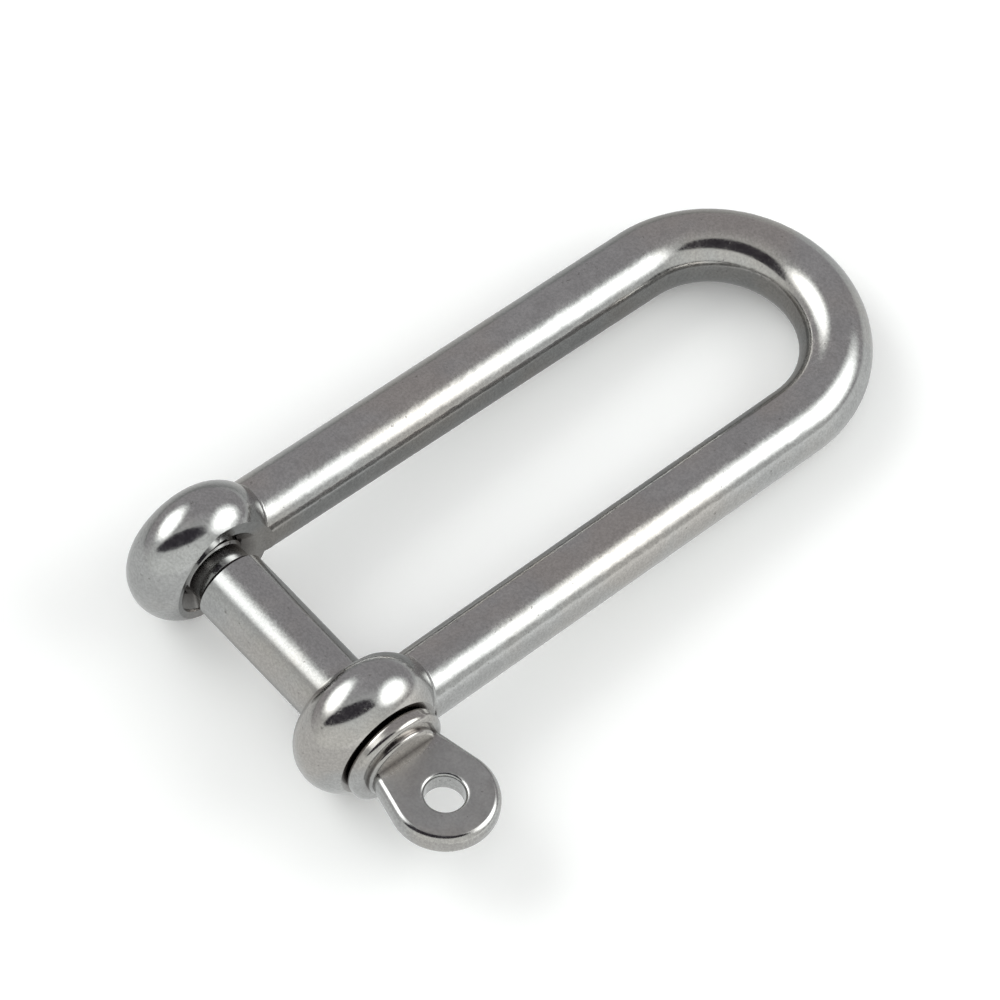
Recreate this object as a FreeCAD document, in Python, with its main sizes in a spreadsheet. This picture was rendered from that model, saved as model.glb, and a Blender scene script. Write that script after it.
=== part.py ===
import FreeCAD, Part
import math
import os

import Sketcher

# A long dee shackle with a screw pin, in millimetres.
# +X runs along the pin towards its head, +Y along the load line towards the bend, and +Z is up,
# square to the plane of the bow. The origin is on the pin's axis, midway between the two eyes.

SIZES = [
    # the bow
    ("bar_diameter", 8.0),
    ("leg_spacing", 27.6),          # between the legs' centre lines, at the pin
    ("bend_centre", 61.5),          # from the pin's axis to the centre of the bend
    ("bend_radius", 13.1),          # of the bar's centre line
    ("eye_diameter", 17.0),
    ("eye_spacing", 27.6),          # between the middles of the two eyes
    ("eye_round", 4.45),            # radius of the eye's rounded rim
    ("jaw_width", 20.9),            # between the inner faces of the eyes
    ("jaw_reach", 7.7),             # how far the faces go each way from the pin's axis
    ("jaw_lean", 0.9),              # how far each face leans in, away from the bend
    ("jaw_run_out", 1.0),           # of each face into its leg, at 45 degrees
    ("seat_distance", 17.6),        # from the origin to the flat that the collar tightens on
    ("seat_diameter", 13.2),
    ("crease_fillet", 0.4),         # where a leg runs into its eye
    ("plain_bore_diameter", 8.7),
    ("bore_chamfer", 0.4),
    ("thread_bore_diameter", 7.9),
    ("thread_bore_root_diameter", 8.7),
    ("thread_bore_length", 6.2),    # of the bore's thread, which stops short of the countersink
    ("countersink_diameter", 10.8),
    # the screw pin
    ("shank_diameter", 8.4),
    ("shank_start", -8.25),         # where the full shank ends in its shoulder
    ("shoulder_chamfer", 0.45),
    ("neck_diameter", 7.0),
    ("neck_length", 2.6),
    ("thread_diameter", 7.8),
    ("thread_root_diameter", 6.5),
    ("thread_pitch", 1.25),
    ("thread_land", 0.16),          # the flat on the thread's crest and at its root
    ("thread_length", 7.9),
    ("pin_end", -18.0),
    ("pin_end_chamfer", 0.7),
    ("collar_gap", 0.1),
    ("collar_diameter", 11.9),
    ("collar_thickness", 1.9),
    ("collar_round", 0.7),
    ("root_diameter", 9.0),         # of the short round stub behind the head
    ("root_length", 0.6),
    ("head_centre", 26.2),          # from the origin to the hole in the head
    ("head_offset", 0.45),          # the head is forged a little to one side of the axis
    ("head_root_width", 8.8),
    ("head_diameter", 12.0),
    ("head_blank_thickness", 3.0),  # before its two flats are cut
    ("head_round", 1.25),           # the blank's rounded rim
    ("head_thickness", 2.8),        # between the flats
    ("head_hole_diameter", 4.4),
    ("head_hole_round", 0.5),
    ("stub_round", 0.4),
]

doc = FreeCAD.newDocument("dee_shackle")
sheet = doc.addObject("Spreadsheet::Sheet", "sizes")
for row, (alias, value) in enumerate(SIZES, start=1):
    sheet.set("A%d" % row, alias)
    sheet.set("B%d" % row, str(value))
    sheet.setAlias("B%d" % row, alias)
doc.recompute()


class Length:
    """A length that knows its number and the expression that the document keeps it by."""

    def __init__(self, value, text):
        self.value = value
        self.text = text

    def __add__(self, other):
        return Length(self.value + other.value, "(%s + %s)" % (self.text, other.text))

    def __sub__(self, other):
        return Length(self.value - other.value, "(%s - %s)" % (self.text, other.text))

    def __neg__(self):
        return Length(-self.value, "(0 - %s)" % self.text)

    def half(self):
        return Length(self.value / 2, "(%s / 2)" % self.text)


dim = {alias: Length(value, "sizes." + alias) for alias, value in SIZES}
ZERO = Length(0.0, "0")

# the ends and the centre of a sketch's edge, as constraints count them
START, END, CENTRE = 1, 2, 3


def new_body(name):
    """A PartDesign body whose name is also its label, and so its file."""
    body = doc.addObject("PartDesign::Body", name)
    body.Label = name
    return body


def origin_feature(body, role):
    """One of the body's own origin planes or axes, by its role."""
    for feature in body.Origin.OriginFeatures:
        if feature.Role == role:
            return feature
    raise ValueError("no origin feature with the role " + role)


def new_sketch(body, name, plane="XY_Plane"):
    sketch = body.newObject("Sketcher::SketchObject", name)
    sketch.AttachmentSupport = [(origin_feature(body, plane), "")]
    sketch.MapMode = "FlatFace"
    return sketch


def constrain(sketch, kind, *place):
    return sketch.addConstraint(Sketcher.Constraint(kind, *place))


def bind(sketch, kind, place, length):
    """A dimension of the sketch that follows the sheet."""
    index = constrain(sketch, kind, *place, length.value)
    sketch.setExpression("Constraints[%d]" % index, length.text)


def fix_point(sketch, edge, end, x, y):
    """Places one end or the centre of an edge, measured from the origin."""
    for kind, axis, length in (("DistanceX", -2, x), ("DistanceY", -1, y)):
        if length is ZERO:
            constrain(sketch, "PointOnObject", edge, end, axis)
        else:
            bind(sketch, kind, (-1, 1, edge, end), length)


def add_line(sketch, start, end):
    vectors = [FreeCAD.Vector(x.value, y.value, 0) for x, y in (start, end)]
    return sketch.addGeometry(Part.LineSegment(*vectors), False)


def add_arc(sketch, centre, radius, first, last):
    """An arc with its centre and radius fixed, anticlockwise between two angles in degrees."""
    middle = FreeCAD.Vector(centre[0].value, centre[1].value, 0)
    circle = Part.Circle(middle, FreeCAD.Vector(0, 0, 1), radius.value)
    edge = sketch.addGeometry(Part.ArcOfCircle(circle, math.radians(first), math.radians(last)), False)
    bind(sketch, "Radius", (edge,), radius)
    fix_point(sketch, edge, CENTRE, *centre)
    return edge


def add_circle(sketch, centre, radius):
    middle = FreeCAD.Vector(centre[0].value, centre[1].value, 0)
    edge = sketch.addGeometry(Part.Circle(middle, FreeCAD.Vector(0, 0, 1), radius.value), False)
    bind(sketch, "Radius", (edge,), radius)
    fix_point(sketch, edge, CENTRE, *centre)
    return edge


def add_polygon(sketch, corners):
    """A closed outline of straight edges with every corner placed from the origin."""
    edges = [add_line(sketch, a, b) for a, b in zip(corners, corners[1:] + corners[:1])]
    for edge, following in zip(edges, edges[1:] + edges[:1]):
        constrain(sketch, "Coincident", edge, END, following, START)
    for edge, corner in zip(edges, corners):
        fix_point(sketch, edge, START, *corner)


def feature(body, kind, name, profile, **settings):
    """A feature made from a sketch, set up and added to the body."""
    made = body.newObject("PartDesign::" + kind, name)
    made.Profile = profile
    for key, value in settings.items():
        setattr(made, key, value)
    profile.Visibility = False
    doc.recompute()
    return made


def turned(body, kind, name, profile):
    """A Revolution or a Groove of the profile, a full turn about the pin's axis."""
    return feature(body, kind, name, profile, ReferenceAxis=(profile, ["H_Axis"]), Angle=360.0)


def dress(body, kind, name, base, test, length):
    """A Fillet or Chamfer of every edge of the base that passes the test."""
    names = ["Edge%d" % (i + 1) for i, edge in enumerate(base.Shape.Edges) if test(edge)]
    made = body.newObject("PartDesign::" + kind, name)
    made.Base = (base, names)
    made.setExpression("Radius" if kind == "Fillet" else "Size", length.text)
    doc.recompute()
    return made


def make_bow():
    """The bow: a bent bar with a round eye on each end, bored for the pin."""
    body = new_body("bow")
    leg = dim["leg_spacing"].half()
    bend = (ZERO, dim["bend_centre"])

    route = new_sketch(body, "bar_route")
    start = (-leg, ZERO)
    finish = (leg, ZERO)
    left = add_line(route, start, (-dim["bend_radius"], dim["bend_centre"]))
    curve = add_arc(route, bend, dim["bend_radius"], 0, 180)
    right = add_line(route, (dim["bend_radius"], dim["bend_centre"]), finish)
    constrain(route, "Tangent", left, END, curve, END)
    constrain(route, "Tangent", curve, START, right, START)
    fix_point(route, left, START, *start)
    fix_point(route, right, END, *finish)

    section = new_sketch(body, "bar_section", "XZ_Plane")
    add_circle(section, (-leg, ZERO), dim["bar_diameter"].half())
    doc.recompute()
    feature(body, "AdditivePipe", "bar", section, Spine=route)

    eye_outline = new_sketch(body, "eye_outline")
    for side in (1, -1):
        add_eye_outline(eye_outline, side)
    eyes = turned(body, "Revolution", "eyes", eye_outline)
    dress(body, "Fillet", "crease", eyes, is_crease, dim["crease_fillet"])

    jaw = new_sketch(body, "jaw_outline")
    jaw_face = dim["jaw_width"].half()
    reach = dim["jaw_reach"]
    lean = dim["jaw_lean"]
    run_out = dim["jaw_run_out"]
    add_polygon(jaw, [
        (lean - jaw_face, -reach),
        (jaw_face - lean, -reach),
        (jaw_face, ZERO),
        (jaw_face, reach - run_out),
        (jaw_face - run_out, reach),
        (run_out - jaw_face, reach),
        (-jaw_face, reach - run_out),
        (-jaw_face, ZERO),
    ])
    feature(body, "Pocket", "jaw", jaw, Type=1, Midplane=True)

    seat = new_sketch(body, "seat_outline")
    seat_radius = dim["seat_diameter"].half()
    beyond = dim["seat_distance"] + dim["seat_distance"]
    add_polygon(seat, [
        (dim["seat_distance"], ZERO),
        (beyond, ZERO),
        (beyond, seat_radius),
        (dim["seat_distance"], seat_radius),
    ])
    turned(body, "Groove", "seat", seat)

    bores = new_sketch(body, "bore_outline")
    plain = dim["plain_bore_diameter"].half()
    mouth = plain + dim["bore_chamfer"]
    chamfer_end = jaw_face + dim["bore_chamfer"]
    add_polygon(bores, [
        (ZERO, ZERO),
        (beyond, ZERO),
        (beyond, plain),
        (chamfer_end, plain),
        (jaw_face, mouth),
        (ZERO, mouth),
    ])
    turned(body, "Groove", "plain_bore", bores)

    thread_bore = new_sketch(body, "thread_bore_outline")
    threaded = dim["thread_bore_diameter"].half()
    sink = dim["countersink_diameter"].half()
    sink_end = jaw_face + (sink - threaded)
    add_polygon(thread_bore, [
        (ZERO, ZERO),
        (ZERO, sink),
        (-jaw_face, sink),
        (-sink_end, threaded),
        (-beyond, threaded),
        (-beyond, ZERO),
    ])
    turned(body, "Groove", "thread_bore", thread_bore)

    tooth = new_sketch(body, "thread_groove_outline")
    add_thread_groove(tooth, dim["pin_end"] - dim["thread_pitch"], threaded,
                      dim["thread_bore_root_diameter"].half())
    cut_thread(body, tooth, dim["thread_bore_length"])
    return body


def add_thread_groove(sketch, middle, top, bottom):
    """The V of one turn of thread, a little narrower than the pitch, cut from top to bottom."""
    half_width = dim["thread_pitch"].half() - dim["thread_land"].half()
    tip = dim["thread_land"].half()
    add_polygon(sketch, [
        (middle - half_width, top),
        (middle + half_width, top),
        (middle + tip, bottom),
        (middle - tip, bottom),
    ])


def cut_thread(body, profile, length):
    """The thread's groove, wound from just beyond the end of the pin towards the jaw."""
    helix = body.newObject("PartDesign::SubtractiveHelix", "thread")
    helix.Profile = profile
    helix.ReferenceAxis = (profile, ["H_Axis"])
    helix.Mode = 0
    helix.setExpression("Pitch", "sizes.thread_pitch")
    helix.setExpression("Height", length.text)
    doc.recompute()


def is_crease(edge):
    """The edges where a leg meets its eye."""
    return isinstance(edge.Curve, Part.BSplineCurve)


def add_rounded_block(sketch, first, last, radius, corner):
    """A rectangle from the axis out to the radius, with its two outer corners rounded."""
    level = radius - corner
    right = add_line(sketch, (last, ZERO), (last, level))
    right_corner = add_arc(sketch, (last - corner, level), corner, 0, 90)
    top = add_line(sketch, (last - corner, radius), (first + corner, radius))
    left_corner = add_arc(sketch, (first + corner, level), corner, 90, 180)
    left = add_line(sketch, (first, level), (first, ZERO))
    axis = add_line(sketch, (first, ZERO), (last, ZERO))
    constrain(sketch, "Tangent", right, END, right_corner, START)
    constrain(sketch, "Tangent", right_corner, END, top, START)
    constrain(sketch, "Tangent", top, END, left_corner, START)
    constrain(sketch, "Tangent", left_corner, END, left, START)
    constrain(sketch, "Coincident", left, END, axis, START)
    constrain(sketch, "Coincident", axis, END, right, START)
    constrain(sketch, "PointOnObject", axis, START, -1)
    constrain(sketch, "Vertical", right)
    constrain(sketch, "Vertical", left)
    constrain(sketch, "Horizontal", axis)


def add_eye_outline(sketch, side):
    """Half of the section through an eye: a round rim between two flat sides."""
    middle = dim["eye_spacing"].half()
    rim = dim["eye_round"]
    if side < 0:
        middle = -middle
    centre = (middle, dim["eye_diameter"].half() - rim)
    rim_arc = add_arc(sketch, centre, rim, 0, 180)
    outer = add_line(sketch, (middle - rim, centre[1]), (middle - rim, ZERO))
    axis = add_line(sketch, (middle - rim, ZERO), (middle + rim, ZERO))
    inner = add_line(sketch, (middle + rim, ZERO), (middle + rim, centre[1]))
    constrain(sketch, "Tangent", rim_arc, END, outer, START)
    constrain(sketch, "Tangent", inner, END, rim_arc, START)
    constrain(sketch, "Coincident", outer, END, axis, START)
    constrain(sketch, "Coincident", axis, END, inner, START)
    constrain(sketch, "Horizontal", axis)
    constrain(sketch, "PointOnObject", axis, START, -1)
    constrain(sketch, "Vertical", outer)
    constrain(sketch, "Vertical", inner)


def make_screw_pin():
    """The pin, in one piece with its collar and its flat head."""
    body = new_body("screw_pin")
    collar_start = dim["seat_distance"] + dim["collar_gap"]
    collar_end = collar_start + dim["collar_thickness"]
    collar_middle = collar_start + dim["collar_thickness"].half()
    root = dim["root_diameter"].half()
    blank_half = dim["head_blank_thickness"].half()

    head = new_sketch(body, "head_outline")
    add_head_outline(head, collar_middle)
    pad = feature(body, "Pad", "head", head, Midplane=True)
    pad.setExpression("Length", "sizes.head_blank_thickness")
    doc.recompute()
    dress(body, "Fillet", "head_rims", pad, outline_of_head(blank_half), dim["head_round"])
    for side in ("upper", "lower"):
        cut_flat(body, side)
    hole = new_sketch(body, "head_hole_outline")
    add_circle(hole, (dim["head_centre"], dim["head_offset"]), dim["head_hole_diameter"].half())
    bored = feature(body, "Pocket", "head_hole", hole, Type=1, Midplane=True)
    dress(body, "Fillet", "head_hole_rims", bored,
          circle_of(dim["head_hole_diameter"].half()), dim["head_hole_round"])

    stem = new_sketch(body, "stem_outline")
    thread = dim["thread_diameter"].half()
    neck = dim["neck_diameter"].half()
    shank = dim["shank_diameter"].half()
    end_chamfer = dim["pin_end_chamfer"]
    shoulder = dim["shoulder_chamfer"]
    shank_start = dim["shank_start"]
    neck_start = shank_start - dim["neck_length"]
    neck_end = shank_start - shoulder
    root_end = collar_end + dim["root_length"]
    add_polygon(stem, [
        (dim["pin_end"], ZERO),
        (dim["pin_end"], thread - end_chamfer),
        (dim["pin_end"] + end_chamfer, thread),
        (neck_start - (thread - neck), thread),
        (neck_start, neck),
        (neck_end, neck),
        (neck_end, shank - shoulder),
        (shank_start, shank),
        (collar_middle, shank),
        (collar_middle, root),
        (root_end, root),
        (root_end, ZERO),
    ])
    stemmed = turned(body, "Revolution", "stem", stem)
    dress(body, "Fillet", "stub_end", stemmed, crown_of(root_end), dim["stub_round"])
    collar = new_sketch(body, "collar_outline")
    add_rounded_block(collar, collar_start, collar_end, dim["collar_diameter"].half(),
                      dim["collar_round"])
    turned(body, "Revolution", "collar", collar)

    tooth = new_sketch(body, "thread_groove_outline")
    add_thread_groove(tooth, dim["pin_end"] - dim["thread_pitch"], thread,
                      dim["thread_root_diameter"].half())
    cut_thread(body, tooth, dim["thread_length"])
    return body


def circle_of(radius):
    """A test for round edges of this radius."""
    def test(edge):
        return isinstance(edge.Curve, Part.Circle) and abs(edge.Curve.Radius - radius.value) < 0.01
    return test


def outline_of_head(half):
    """A test for the edges round the outside of the head's two flat faces."""
    reach = dim["head_root_width"].half().value

    def test(edge):
        box = edge.BoundBox
        level = box.ZLength < 0.01 and abs(abs(box.ZMax) - half.value) < 0.01
        return level and box.XLength > 1.0 and max(-box.YMin, box.YMax) > reach - 0.5
    return test


def crown_of(x):
    """A test for the round edges of the stub's end wall."""
    def test(edge):
        box = edge.BoundBox
        upright = box.XLength < 0.01 and abs(box.XMin - x.value) < 0.01
        return upright and isinstance(edge.Curve, Part.Circle)
    return test


def cut_flat(body, side):
    """Cuts one of the head's flats, which leaves a crisp edge on the rounded blank."""
    face = new_sketch(body, side + "_flat_outline")
    reach = dim["head_diameter"]
    add_polygon(face, [(ZERO, -reach), (dim["head_centre"] + reach, -reach),
                       (dim["head_centre"] + reach, reach), (ZERO, reach)])
    sign = "" if side == "upper" else "-"
    face.setExpression("AttachmentOffset.Base.z", sign + "sizes.head_thickness / 2")
    before = body.Shape.Volume
    cut = feature(body, "Pocket", side + "_flat", face, Type=1, Reversed=(side == "upper"))
    if not 0 < before - cut.Shape.Volume < before / 2:
        raise RuntimeError("the %s flat cuts the wrong way" % side)


def add_head_outline(sketch, root_x):
    """The head from above: a disc whose sides run straight into the stub behind it."""
    centre = (dim["head_centre"], dim["head_offset"])
    radius = dim["head_diameter"].half()
    shoulder = centre[0] - radius.half()
    right = dim["head_offset"] + dim["head_root_width"].half()
    left = dim["head_offset"] - dim["head_root_width"].half()
    disc = add_arc(sketch, centre, radius, -110, 110)
    upper = add_line(sketch, (shoulder, radius), (root_x, right))
    back = add_line(sketch, (root_x, right), (root_x, left))
    lower = add_line(sketch, (root_x, left), (shoulder, -radius))
    constrain(sketch, "Tangent", disc, END, upper, START)
    constrain(sketch, "Tangent", lower, END, disc, START)
    constrain(sketch, "Coincident", upper, END, back, START)
    constrain(sketch, "Coincident", back, END, lower, START)
    fix_point(sketch, back, START, root_x, right)
    fix_point(sketch, back, END, root_x, left)


def check_document():
    """Stops if any object failed to recompute or any piece isn't one sound solid."""
    for thing in doc.Objects:
        if "Invalid" in thing.State or "Error" in thing.State:
            raise RuntimeError("%s didn't recompute: %s" % (thing.Name, thing.State))
    for body in pieces:
        if body.Shape.isNull() or not body.Shape.isValid() or len(body.Shape.Solids) != 1:
            raise RuntimeError("%s isn't one valid solid" % body.Label)


pieces = [make_bow(), make_screw_pin()]
doc.recompute()
check_document()
os.makedirs("parts", exist_ok=True)
for piece in pieces:
    piece.Shape.exportStep("parts/%s.step" % piece.Label)
    print("%s: %.1f mm3" % (piece.Label, piece.Shape.Volume))
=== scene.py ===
import math

import bpy
from mathutils import Matrix, Vector


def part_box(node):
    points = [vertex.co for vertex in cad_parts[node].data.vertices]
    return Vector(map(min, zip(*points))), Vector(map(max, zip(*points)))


# A long dee shackle in polished stainless steel, lying on a pale table. Everything is in metres,
# in the shackle's frame: +X along the pin, +Y along the load line, +Z square to the bow.

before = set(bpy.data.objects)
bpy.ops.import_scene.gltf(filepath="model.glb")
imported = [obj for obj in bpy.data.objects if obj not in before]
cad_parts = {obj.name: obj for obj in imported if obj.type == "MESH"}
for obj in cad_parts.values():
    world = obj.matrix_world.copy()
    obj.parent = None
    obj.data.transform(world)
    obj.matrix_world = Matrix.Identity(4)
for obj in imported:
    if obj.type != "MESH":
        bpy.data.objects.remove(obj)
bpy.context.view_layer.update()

BOW = "bow"
PIN = "screw_pin"

# The view, as angles in degrees round its target.
VIEW_TARGET = Vector((0.00113, 0.02960, 0.0))
VIEW_AZIMUTH = 43.69
VIEW_ELEVATION = 55.81
VIEW_ROLL = -6.92
VIEW_DISTANCE = 0.8873
LENS_MM = 298.67
SENSOR_MM = 36.0
CLIP_START = 0.01
CLIP_END = 20.0

# The shackle rests on its two eyes and on the outside of its bend, so the table is tilted in its
# frame, about the pin's axis.
EYE_RADIUS = -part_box(BOW)[0][2]
BAR_RADIUS = 0.004
BEND_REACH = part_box(BOW)[1][1] - BAR_RADIUS
FLOOR_TILT = math.asin((EYE_RADIUS - BAR_RADIUS) / BEND_REACH)
FLOOR_SIZE = 6.0

# A ramp is written as (from, to, level at from, level at to), or as (from, to) when it goes from
# 0 to 1.

# The table as the camera sees it: nearly white, with a faint glow of its own.
FLOOR_SHADE_SCALE = 3.0
FLOOR_SHADE = (0.3, 0.7, 0.93, 0.95)
FLOOR_ROUGHNESS = 0.9
FLOOR_SPECULAR = 0.1
FLOOR_GLOW_COLOUR = (1.0, 1.0, 1.0, 1.0)
FLOOR_GLOW = 0.14

# The table as the steel mirrors it: grey, with painted light brighter toward the camera and to the
# camera's right, and a painted shadow dimming it inside the bow, whose outline here has soft
# edges.
MIRRORED_COLOUR = (0.98, 1.0, 0.99, 1.0)
MIRRORED_TOWARD = (-0.14, 0.03, 0.32, 0.74)
MIRRORED_BESIDE = (0.02, 0.1, 0.0, 0.3)
MIRRORED_BOW_SHADOW = (0.0, 1.0, 1.0, 0.5)
BOW_SHADOW_WIDTH = (0.010, 0.020, 1.0, 0.0)
BOW_SHADOW_START = (-0.012, 0.0)
BOW_SHADOW_END = (0.070, 0.080, 1.0, 0.0)

# The studio: soft white panels on each side, a grey tent, and the dark gap that the camera looks
# through. Azimuths are counted from the camera's own, positive to its right.
PANEL_DISTANCE = 1.6
PANEL_COLOUR = (0.98, 1.0, 0.985, 1.0)
PANEL_CORE = 0.15
PANEL_SIDES = 48
PANELS = [
    # azimuth, elevation, half angle across, half angle up, strength, strength at the rim
    (97.0, 36.0, 33.0, 28.0, 4.0, 0.64),
    (-106.0, 41.5, 34.0, 25.0, 4.2, 0.58),
]
GAP_DISTANCE = 1.9
GAP_COLOUR = (0.9, 0.8, 1.0, 1.0)
GAP_STRENGTH = 0.05
GAP_EDGES = [
    # azimuth, lower elevation, upper elevation
    (-66.0, 20.0, 42.0),
    (-57.0, 22.0, 60.0),
    (-40.0, 31.0, 70.0),
    (-15.0, 40.0, 76.0),
    (15.0, 44.0, 77.0),
    (38.0, 45.0, 75.0),
    (58.0, 45.0, 66.0),
]
TENT_LEVEL = (-0.4, 0.9, 0.41, 0.86)
TENT_TINT = (-0.4, 0.5)
TENT_FAR_COLOUR = (1.0, 0.97, 0.995, 1.0)
TENT_NEAR_COLOUR = (0.975, 1.0, 0.975, 1.0)

# The steel's patterns, in waves to the metre.
STAIN_SCALE = 90.0
WAVE_SCALE = 170.0
CLOUD_SCALE = 420.0
PIT_SCALE = 1500.0
GRAIN_SCALE = 3400.0

# The steel's colours, and how much of each is mixed in.
CLOUD_SHADE = 0.90
WARM_SHADE = (1.02, 0.955, 0.9)
WARM_SHARE = 0.7
GRAIN_SHADE = (0.3, 0.7, 0.88, 1.08)
PIT_COLOUR = (0.12, 0.11, 0.1, 1.0)
PIT_SHARE = 0.45
# Painted shade: the steel's colour darkens toward this grey, by this share, in creases and gaps
# that ambient occlusion finds within this reach.
CREVICE_SHADE_COLOUR = (0.13, 0.115, 0.11, 1.0)
CREVICE_SHADE_REACH = 0.0022
CREVICE_SHADE_SHARE = (0.30, 0.92, 0.85, 0.0)
MATT_COLOUR = (0.18, 0.175, 0.175, 1.0)
MATT_SHARE = 0.3

# The steel's roughness: a factor either way for the clouds, and what the others add.
CLOUD_POLISH = (0.8, 1.25)
GRAIN_ROUGHNESS = (0.35, 0.65, -0.03, 0.03)
PIT_ROUGHNESS = 0.12
MATT_ROUGHNESS = 0.26

# The heights of the hand-polished waves and of the pits.
WAVE_HEIGHT = 0.00002
PIT_HEIGHT = -0.000002

# Where the head's two matt flats begin: their distance from the head's middle plane, and along
# the pin.
FLAT_LEVEL = (0.00133, 0.00139)
FLAT_START = (0.0205, 0.0215)


def direction(azimuth, elevation):
    """A unit vector, from angles in degrees: azimuth 0 is -Y and 90 is +X."""
    a = math.radians(azimuth)
    e = math.radians(elevation)
    return Vector((math.cos(e) * math.sin(a), -math.cos(e) * math.cos(a), math.sin(e)))


def right_and_up(back):
    """The level right and the up of something whose back is turned this way."""
    right = Vector((0, 0, 1)).cross(back).normalized()
    return right, back.cross(right)


def add_camera():
    back = direction(VIEW_AZIMUTH, VIEW_ELEVATION)
    right, up = right_and_up(back)
    upright = Matrix((right, up, back)).transposed()
    turn = upright @ Matrix.Rotation(math.radians(-VIEW_ROLL), 3, "Z")
    data = bpy.data.cameras.new("camera")
    data.lens = LENS_MM
    data.sensor_width = SENSOR_MM
    data.clip_start = CLIP_START
    data.clip_end = CLIP_END
    camera = bpy.data.objects.new("camera", data)
    bpy.context.scene.collection.objects.link(camera)
    camera.matrix_world = Matrix.Translation(VIEW_TARGET + back * VIEW_DISTANCE) @ turn.to_4x4()
    bpy.context.scene.camera = camera


# ---------------------------------------------------------------- shader helpers

class Nodes:
    """A short way to write a node tree."""

    def __init__(self, tree):
        self.tree = tree
        tree.nodes.clear()

    def add(self, kind, inputs=(), **settings):
        node = self.tree.nodes.new(kind)
        for key, value in settings.items():
            setattr(node, key, value)
        for name, value in dict(inputs).items():
            self.put(node, name, value)
        return node

    def put(self, node, name, value):
        socket = node.inputs[name]
        if isinstance(value, bpy.types.NodeSocket):
            self.tree.links.new(value, socket)
        else:
            socket.default_value = value

    def math(self, operation, first, second=0.0):
        return self.add("ShaderNodeMath", {0: first, 1: second}, operation=operation).outputs[0]

    def along(self, vector, way):
        """How far vector reaches along a fixed direction."""
        node = self.add("ShaderNodeVectorMath", {0: vector, 1: way}, operation="DOT_PRODUCT")
        return node.outputs["Value"]

    def ramp(self, value, low, high, to_low=0.0, to_high=1.0):
        """value, mapped from low..high to to_low..to_high with a soft start and end."""
        node = self.add("ShaderNodeMapRange", {
            "Value": value, "From Min": low, "From Max": high, "To Min": to_low, "To Max": to_high,
        }, interpolation_type="SMOOTHSTEP")
        return node.outputs["Result"]

    def noise(self, vector, scale, detail=2.0, roughness=0.5):
        node = self.add("ShaderNodeTexNoise", {
            "Vector": vector, "Scale": scale, "Detail": detail, "Roughness": roughness,
        })
        return node.outputs["Fac"]

    def grey(self, level):
        node = self.add("ShaderNodeCombineColor", {"Red": level, "Green": level, "Blue": level})
        return node.outputs[0]

    def mix(self, share, first, second, blend="MIX"):
        node = self.add("ShaderNodeMix", data_type="RGBA", blend_type=blend)
        self.put(node, 0, share)
        self.put(node, 6, first)
        self.put(node, 7, second)
        return node.outputs[2]


def new_material(name):
    material = bpy.data.materials.new(name)
    material.use_nodes = True
    return material, Nodes(material.node_tree)


# ---------------------------------------------------------------- the studio

def stage_mesh(name, corners, faces, material):
    mesh = bpy.data.meshes.new(name)
    mesh.from_pydata([tuple(c) for c in corners], [], faces)
    mesh.materials.append(material)
    piece = bpy.data.objects.new(name, mesh)
    bpy.context.scene.collection.objects.link(piece)
    return piece


def bow_shadow_mask(n, place):
    """1 on the table inside the bow and 0 outside it, with soft edges: the mask of the bow's
    painted shadow.
    """
    axes = n.add("ShaderNodeSeparateXYZ", {0: place}).outputs
    across = n.ramp(n.math("ABSOLUTE", axes["X"]), *BOW_SHADOW_WIDTH)
    lengthways = n.math("MULTIPLY", n.ramp(axes["Y"], *BOW_SHADOW_START),
                        n.ramp(axes["Y"], *BOW_SHADOW_END))
    return n.math("MULTIPLY", across, lengthways)


def add_floor():
    """The table. It is pale to the camera, and a mixed shader shows the steel a grey one, glowing
    with painted light and a painted shadow of the bow.
    """
    material, n = new_material("pale table")
    place = n.add("ShaderNodeTexCoord").outputs["Object"]

    shade = n.ramp(n.noise(place, FLOOR_SHADE_SCALE), *FLOOR_SHADE)
    seen = n.add("ShaderNodeBsdfPrincipled", {
        "Base Color": n.grey(shade), "Roughness": FLOOR_ROUGHNESS,
        "Specular IOR Level": FLOOR_SPECULAR, "Emission Color": FLOOR_GLOW_COLOUR,
        "Emission Strength": FLOOR_GLOW})

    # Painted light: the mirrored table is brighter toward the camera and to its right. Painted
    # shadow: it is dimmer inside the bow.
    toward = n.along(place, direction(VIEW_AZIMUTH, 0.0))
    beside = n.along(place, direction(VIEW_AZIMUTH + 90.0, 0.0))
    painted_light_level = n.math("ADD", n.ramp(toward, *MIRRORED_TOWARD), n.ramp(beside, *MIRRORED_BESIDE))
    level = n.math("MULTIPLY", painted_light_level, n.ramp(bow_shadow_mask(n, place), *MIRRORED_BOW_SHADOW))
    mirrored = n.add("ShaderNodeEmission", {"Color": MIRRORED_COLOUR, "Strength": level})

    surface = n.add("ShaderNodeMixShader", {
        0: n.add("ShaderNodeLightPath").outputs["Is Glossy Ray"],
        1: seen.outputs[0], 2: mirrored.outputs[0]})
    n.add("ShaderNodeOutputMaterial", {"Surface": surface.outputs[0]})

    half = FLOOR_SIZE / 2
    corners = [(-half, -half, 0), (half, -half, 0), (half, half, 0), (-half, half, 0)]
    floor = stage_mesh("table", corners, [(0, 1, 2, 3)], material)
    tilt = Matrix.Rotation(FLOOR_TILT, 4, "X")
    floor.matrix_world = tilt @ Matrix.Translation((0, 0, -EYE_RADIUS))


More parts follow.
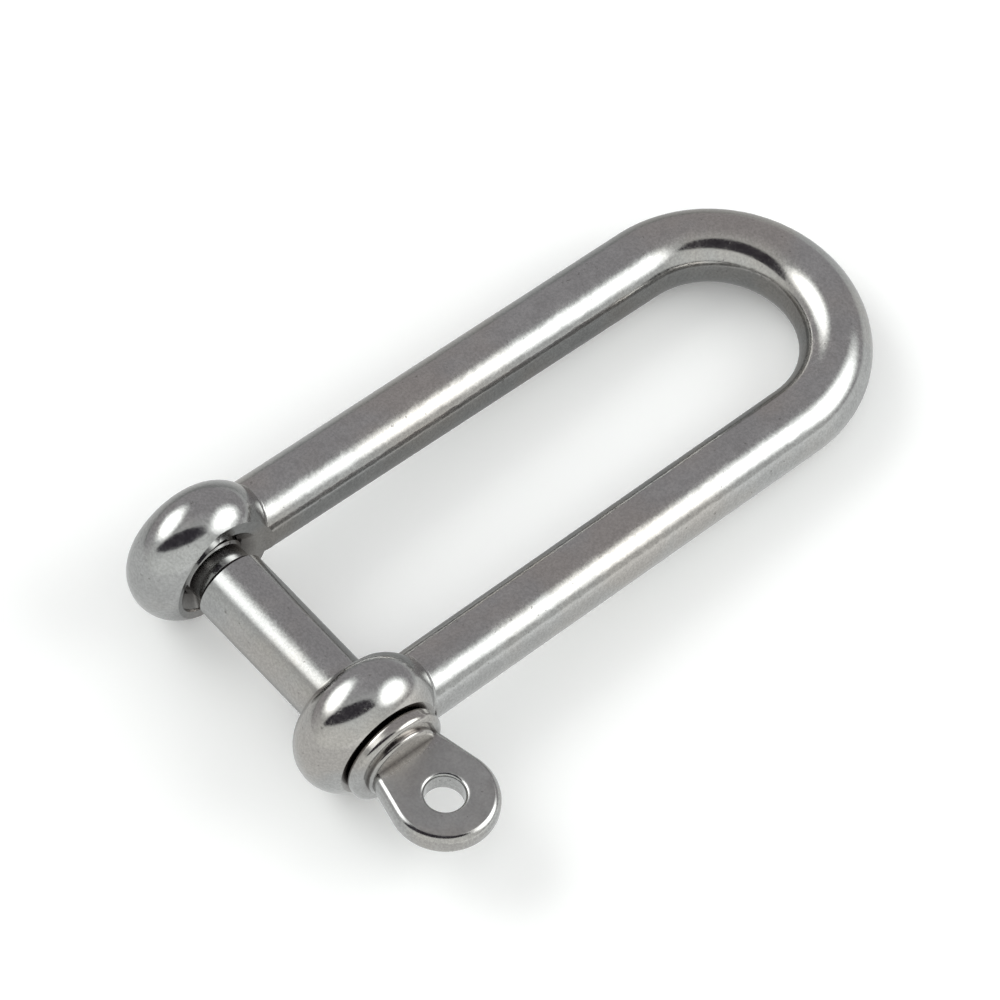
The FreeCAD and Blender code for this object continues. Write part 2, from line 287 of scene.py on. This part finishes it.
def add_panel(index, azimuth, elevation, across, upward, strength, rim_strength):
    """A soft panel facing the shackle, bright in the middle and fading toward its edge."""
    material, n = new_material("soft panel %d" % index)
    place = n.add("ShaderNodeTexCoord").outputs["Object"]
    radius = n.add("ShaderNodeVectorMath", {0: place}, operation="LENGTH").outputs["Value"]
    level = n.ramp(radius, PANEL_CORE, 1.0, strength, rim_strength)
    glow = n.add("ShaderNodeEmission", {"Color": PANEL_COLOUR, "Strength": level})
    n.add("ShaderNodeOutputMaterial", {"Surface": glow.outputs[0]})

    turns = [2 * math.pi * i / PANEL_SIDES for i in range(PANEL_SIDES)]
    rim = [(math.cos(turn), math.sin(turn), 0) for turn in turns]
    panel = stage_mesh("panel_%d" % index, rim, [tuple(range(PANEL_SIDES))], material)
    back = direction(VIEW_AZIMUTH + azimuth, elevation)
    right, up = right_and_up(back)
    width = PANEL_DISTANCE * math.tan(math.radians(across))
    height = PANEL_DISTANCE * math.tan(math.radians(upward))
    facing = Matrix((right * width, up * height, back)).transposed().to_4x4()
    panel.matrix_world = Matrix.Translation(VIEW_TARGET + back * PANEL_DISTANCE) @ facing
    panel.visible_camera = False


def add_gap():
    """The dark gap in the tent, high above the camera and running down to its left."""
    material, n = new_material("dark gap")
    glow = n.add("ShaderNodeEmission", {"Color": GAP_COLOUR, "Strength": GAP_STRENGTH})
    n.add("ShaderNodeOutputMaterial", {"Surface": glow.outputs[0]})

    corners = []
    for azimuth, low, high in GAP_EDGES:
        for elevation in (low, high):
            way = direction(VIEW_AZIMUTH + azimuth, elevation)
            corners.append(VIEW_TARGET + way * GAP_DISTANCE)
    faces = [(i, i + 2, i + 3, i + 1) for i in range(0, len(corners) - 2, 2)]
    gap = stage_mesh("tent_gap", corners, faces, material)
    gap.visible_camera = False
    gap.visible_diffuse = False
    gap.visible_shadow = False


def add_tent():
    """The grey tent all round, brighter on the camera's side."""
    world = bpy.data.worlds.new("tent")
    world.use_nodes = True
    n = Nodes(world.node_tree)
    ray = n.add("ShaderNodeTexCoord").outputs["Generated"]
    toward = n.along(ray, direction(VIEW_AZIMUTH, 0.0))
    tint = n.mix(n.ramp(toward, *TENT_TINT), TENT_FAR_COLOUR, TENT_NEAR_COLOUR)
    glow = n.add("ShaderNodeBackground", {
        "Color": tint, "Strength": n.ramp(toward, *TENT_LEVEL)})
    n.add("ShaderNodeOutputWorld", {"Surface": glow.outputs[0]})
    bpy.context.scene.world = world


# ---------------------------------------------------------------- the steel

def shaded(tint, factors):
    """A colour socket's value: tint times a factor for each channel."""
    return [c * factor for c, factor in zip(tint, factors)] + [1.0]


def steel(name, tint, roughness, grain_height, flats=False):
    """Polished stainless steel: a hand-polished mirror with fine grain, pits and faint stains, and
    painted shade darkening its creases and gaps.

    With flats, the two flat faces of the pin's head are left matt.
    """
    material, n = new_material(name)
    place = n.add("ShaderNodeTexCoord").outputs["Object"]

    stain = n.ramp(n.noise(place, STAIN_SCALE, 3.0), 0.42, 0.66)
    cloud = n.noise(place, CLOUD_SCALE, 4.0, 0.65)
    grain = n.noise(place, GRAIN_SCALE, 3.0, 0.65)
    pits = n.ramp(n.noise(place, PIT_SCALE), 0.24, 0.31, 1.0, 0.0)

    base = n.mix(n.ramp(cloud, 0.3, 0.7), shaded(tint, [CLOUD_SHADE] * 3), list(tint) + [1.0])
    base = n.mix(n.math("MULTIPLY", stain, WARM_SHARE), base, shaded(tint, WARM_SHADE))
    base = n.mix(1.0, base, n.grey(n.ramp(grain, *GRAIN_SHADE)), "MULTIPLY")
    base = n.mix(n.math("MULTIPLY", pits, PIT_SHARE), base, PIT_COLOUR)
    # Painted shade in the creases and gaps, from ambient occlusion.
    crevice = n.add("ShaderNodeAmbientOcclusion", {"Distance": CREVICE_SHADE_REACH}, samples=8)
    base = n.mix(n.ramp(crevice.outputs["AO"], *CREVICE_SHADE_SHARE), base, CREVICE_SHADE_COLOUR)

    low, high = [roughness * factor for factor in CLOUD_POLISH]
    rough = n.math("ADD", n.ramp(cloud, 0.3, 0.75, low, high),
                   n.math("MULTIPLY", pits, PIT_ROUGHNESS))
    rough = n.math("ADD", rough, n.ramp(grain, *GRAIN_ROUGHNESS))
    if flats:
        axes = n.add("ShaderNodeSeparateXYZ", {0: place}).outputs
        matt = n.math("MULTIPLY", n.ramp(n.math("ABSOLUTE", axes["Z"]), *FLAT_LEVEL),
                      n.ramp(axes["X"], *FLAT_START))
        rough = n.math("ADD", rough, n.math("MULTIPLY", matt, MATT_ROUGHNESS))
        base = n.mix(n.math("MULTIPLY", matt, MATT_SHARE), base, MATT_COLOUR)

    waves = n.math("MULTIPLY", n.noise(place, WAVE_SCALE, 1.0), WAVE_HEIGHT)
    ripple = n.math("MULTIPLY", grain, grain_height)
    dents = n.math("MULTIPLY", pits, PIT_HEIGHT)
    height = n.math("ADD", n.math("ADD", waves, ripple), dents)
    bump = n.add("ShaderNodeBump", {"Height": height, "Strength": 1.0, "Distance": 1.0})

    surface = n.add("ShaderNodeBsdfPrincipled", {
        "Base Color": base, "Roughness": rough, "Metallic": 1.0, "Normal": bump.outputs[0]})
    n.add("ShaderNodeOutputMaterial", {"Surface": surface.outputs[0]})
    return material


def finish_node(node, material):
    """Gives a CAD node its material."""
    mesh_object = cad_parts[node]
    mesh_object.data.materials.clear()
    mesh_object.data.materials.append(material)


add_camera()
add_tent()
add_floor()
for number, panel in enumerate(PANELS):
    add_panel(number, *panel)
add_gap()
finish_node(BOW, steel("polished bow", (0.52, 0.52, 0.515), 0.15, 0.0000007))
finish_node(PIN, steel("polished pin", (0.51, 0.51, 0.505), 0.14, 0.0000006, flats=True))
bpy.context.scene.view_settings.view_transform = "Standard"
